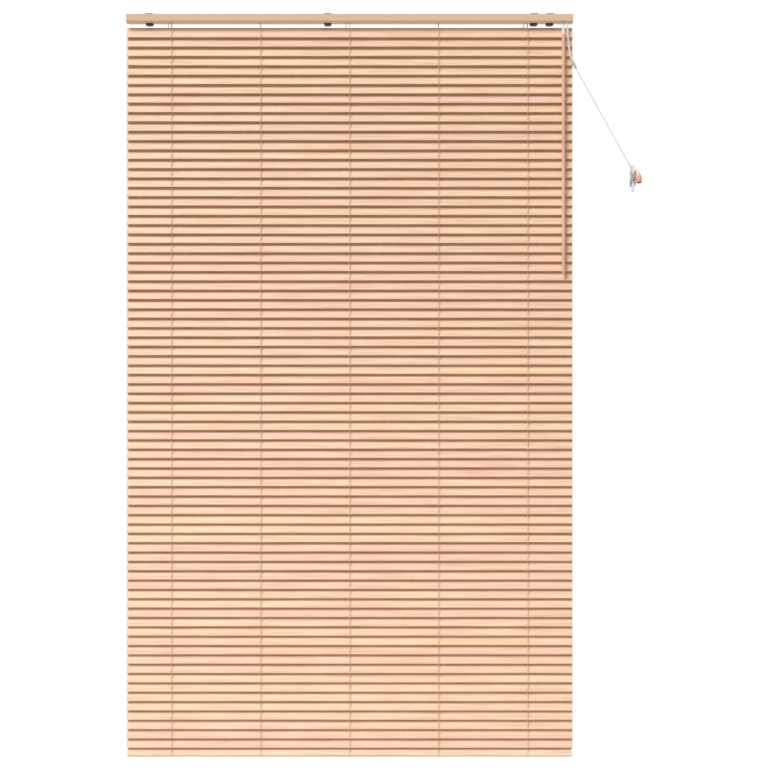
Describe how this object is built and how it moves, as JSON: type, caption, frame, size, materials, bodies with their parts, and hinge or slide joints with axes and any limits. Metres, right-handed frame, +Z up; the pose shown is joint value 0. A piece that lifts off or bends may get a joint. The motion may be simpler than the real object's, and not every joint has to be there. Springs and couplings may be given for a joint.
{
  "type": "wooden venetian blind",
  "caption": "Wall-hung venetian blind of closed wooden slats on ladder cords, with headrail, tilt wand, lift cords, cleat and tassel.",
  "frame": {"origin": "on the wall, midway between the screw holes of the two outer brackets, at the headrail's mid-height", "axes": "+X along the headrail to the cord and wand end, +Y into the wall, +Z up"},
  "size_m": [1.1568, 0.0361, 1.6672],
  "materials": {
    "headrail_paint": "smooth paint in the slats' wood tone",
    "cap_plastic": "moulded in the headrail's tone",
    "rod_steel": "plain drawn steel",
    "worm_steel": "turned steel",
    "moulded_plastic": "plain moulding",
    "white_plastic": "white moulding",
    "wand_wood": "turned and varnished",
    "bracket_brown": "dark brown paint on bent strip",
    "lever_brown": "dark brown moulding",
    "slat_wood": "varnished, grain along the slat",
    "ladder_tan": "woven polyester",
    "bottom_rail_wood": "varnished",
    "plug_plastic": "moulded in the rail's tone",
    "cord_cotton": "braided, pale",
    "bead_wood": "turned",
    "tassel_wood": "turned and varnished",
    "cleat_plastic": "pale moulding"
  },
  "bodies": {
    "headrail_assembly": {"headrail": "headrail_paint", "end_cap_left": "cap_plastic", "end_cap_right": "cap_plastic", "cradle_1": "moulded_plastic", "cradle_2": "moulded_plastic", "cradle_3": "moulded_plastic", "cradle_4": "moulded_plastic", "cradle_5": "moulded_plastic", "tilter_housing": "moulded_plastic", "cord_lock_housing": "moulded_plastic", "bracket_1": "bracket_brown", "bracket_2": "bracket_brown", "bracket_3": "bracket_brown", "bracket_4": "bracket_brown", "lever_rivets": "rod_steel", "slats": "slat_wood", "ladder_1": "ladder_tan", "ladder_2": "ladder_tan", "ladder_3": "ladder_tan", "ladder_4": "ladder_tan", "ladder_5": "ladder_tan", "lift_cord_1": "cord_cotton", "lift_cord_2": "cord_cotton", "lift_cord_3": "cord_cotton", "headrail_cord_1": "cord_cotton", "headrail_cord_2": "cord_cotton", "headrail_cord_3": "cord_cotton", "cord_strand_1": "cord_cotton", "cord_strand_2": "cord_cotton", "cord_strand_3": "cord_cotton", "cord_bead": "bead_wood", "pull_cord": "cord_cotton", "cleat": "cleat_plastic", "cord_wrap": "cord_cotton", "tassel_cord": "cord_cotton", "tassel": "tassel_wood"},
    "tilt_shaft": {"tilt_rod": "rod_steel", "ladder_drum_1": "moulded_plastic", "ladder_drum_2": "moulded_plastic", "ladder_drum_3": "moulded_plastic", "ladder_drum_4": "moulded_plastic", "ladder_drum_5": "moulded_plastic", "worm_wheel": "moulded_plastic"},
    "worm": {"worm_shaft": "worm_steel"},
    "hook": {"wand_hook": "white_plastic"},
    "tilt_wand": {"wand_sleeve": "white_plastic", "wand": "wand_wood"},
    "foot": {"bottom_rail": "bottom_rail_wood", "cord_plugs": "plug_plastic"},
    "guide_pulley": {"cord_guide_pulley": "rod_steel"},
    "lock_roller": {"cord_lock_roller": "rod_steel"},
    "lever_1": {"bracket_lever_1": "lever_brown"},
    "lever_2": {"bracket_lever_2": "lever_brown"},
    "lever_3": {"bracket_lever_3": "lever_brown"},
    "lever_4": {"bracket_lever_4": "lever_brown"}
  },
  "joints": [
    {"name": "tilt_turn", "type": "hinge", "parent": "headrail_assembly", "child": "tilt_shaft", "pos_m": [0, -0.0145, 0], "axis": [-1, 0, 0], "range_deg": [0, 150]},
    {"name": "worm_turn", "type": "hinge", "parent": "headrail_assembly", "child": "worm", "pos_m": [0.479, -0.02044, 0.00371], "axis": [0, -0.5299, -0.848], "range_deg": [0, 1800]},
    {"name": "hook_turn", "type": "hinge", "parent": "headrail_assembly", "child": "hook", "pos_m": [0.479, -0.03213, -0.015], "axis": [0, 0, -1], "range_deg": [0, 1800]},
    {"name": "wand_swing", "type": "hinge", "parent": "hook", "child": "tilt_wand", "pos_m": [0.479, -0.03213, -0.0255], "axis": [-1, 0, 0], "range_deg": [0, 60]},
    {"name": "lift", "type": "slide", "parent": "headrail_assembly", "child": "foot", "axis": [0, 0, 1], "range_m": [0, 1.39], "deforming": ["slats", "ladder_1", "ladder_2", "ladder_3", "ladder_4", "ladder_5", "lift_cord_1", "lift_cord_2", "lift_cord_3"]},
    {"name": "pulley_turn", "type": "hinge", "parent": "headrail_assembly", "child": "guide_pulley", "pos_m": [0.4883, -0.0235, -0.002], "axis": [1, 0, 0], "continuous": true},
    {"name": "lock_slide", "type": "slide", "parent": "headrail_assembly", "child": "lock_roller", "axis": [0, 0, 1], "range_m": [0, 0.003]},
    {"name": "lever_turn_1", "type": "hinge", "parent": "headrail_assembly", "child": "lever_1", "pos_m": [-0.4495, -0.011, -0.0125], "axis": [0, 0, 1], "range_deg": [0, 90]},
    {"name": "lever_turn_2", "type": "hinge", "parent": "headrail_assembly", "child": "lever_2", "pos_m": [-0.049, -0.011, -0.0125], "axis": [0, 0, 1], "range_deg": [0, 90]},
    {"name": "lever_turn_3", "type": "hinge", "parent": "headrail_assembly", "child": "lever_3", "pos_m": [0.4135, -0.011, -0.0125], "axis": [0, 0, 1], "range_deg": [0, 90]},
    {"name": "lever_turn_4", "type": "hinge", "parent": "headrail_assembly", "child": "lever_4", "pos_m": [0.4495, -0.011, -0.0125], "axis": [0, 0, 1], "range_deg": [0, 90]}
  ],
  "couplings": [
    {"joint": "tilt_turn", "follows": "hook_turn", "ratio": 0.083333},
    {"joint": "worm_turn", "follows": "hook_turn", "ratio": 1}
  ]
}
